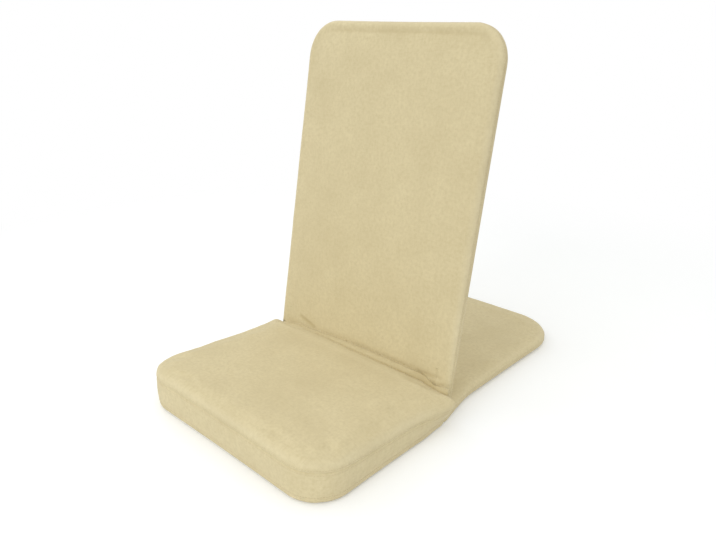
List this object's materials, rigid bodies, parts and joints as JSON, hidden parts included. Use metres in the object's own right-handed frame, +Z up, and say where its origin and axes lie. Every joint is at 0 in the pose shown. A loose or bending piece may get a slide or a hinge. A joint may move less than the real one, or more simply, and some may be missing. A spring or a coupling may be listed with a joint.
{
  "type": "folding floor chair",
  "caption": "Folding floor chair: wedge seat cushion and flat rear panel on a floor frame, with a padded back that folds forward onto the seat.",
  "frame": {"origin": "on the floor, under the centre of the whole chair's plan box", "axes": "+Z up, -Y the front of the seat, +Y the rear panel, +X the sitter's left"},
  "size_m": [0.5106, 0.8519, 0.7218],
  "materials": {
    "cover_fabric": "brushed cotton canvas, sand",
    "foam": "open-cell foam and wadding",
    "frame_paint": "black powder coat",
    "bare_steel": "zinc plated",
    "nylon": "moulded nylon",
    "closure_tape": "hook and loop tape"
  },
  "bodies": {
    "base": {"seat_cover_top": "cover_fabric", "seat_cover_band": "cover_fabric", "seat_cover_bottom": "cover_fabric", "rear_cover_top": "cover_fabric", "rear_cover_bottom": "cover_fabric", "hinge_gusset": "cover_fabric", "seat_foam": "foam", "rear_pad": "foam", "base_tube_front": "frame_paint", "base_tube_rear": "frame_paint", "base_cross_tube": "frame_paint", "hinge_plate_left": "frame_paint", "hinge_plate_right": "frame_paint", "base_ferrule_left": "bare_steel", "base_ferrule_right": "bare_steel", "pivot_bolt_left": "bare_steel", "pivot_bolt_right": "bare_steel", "pivot_washers": "bare_steel", "pivot_nuts": "bare_steel", "seat_closure_loop": "closure_tape", "seat_closure_hook": "closure_tape"},
    "back": {"back_frame": "frame_paint", "back_cross_tube": "frame_paint", "back_foam": "foam", "back_cover_front": "cover_fabric", "back_cover_rear": "cover_fabric", "pivot_bush_left": "nylon", "pivot_bush_right": "nylon", "back_end_cap_left": "nylon", "back_end_cap_right": "nylon"}
  },
  "joints": [
    {"name": "back_fold", "type": "hinge", "parent": "base", "child": "back", "pos_m": [0, -0.04924, 0.088], "axis": [1, 0, 0], "range_deg": [0, 95], "deforming": ["hinge_gusset"]}
  ]
}
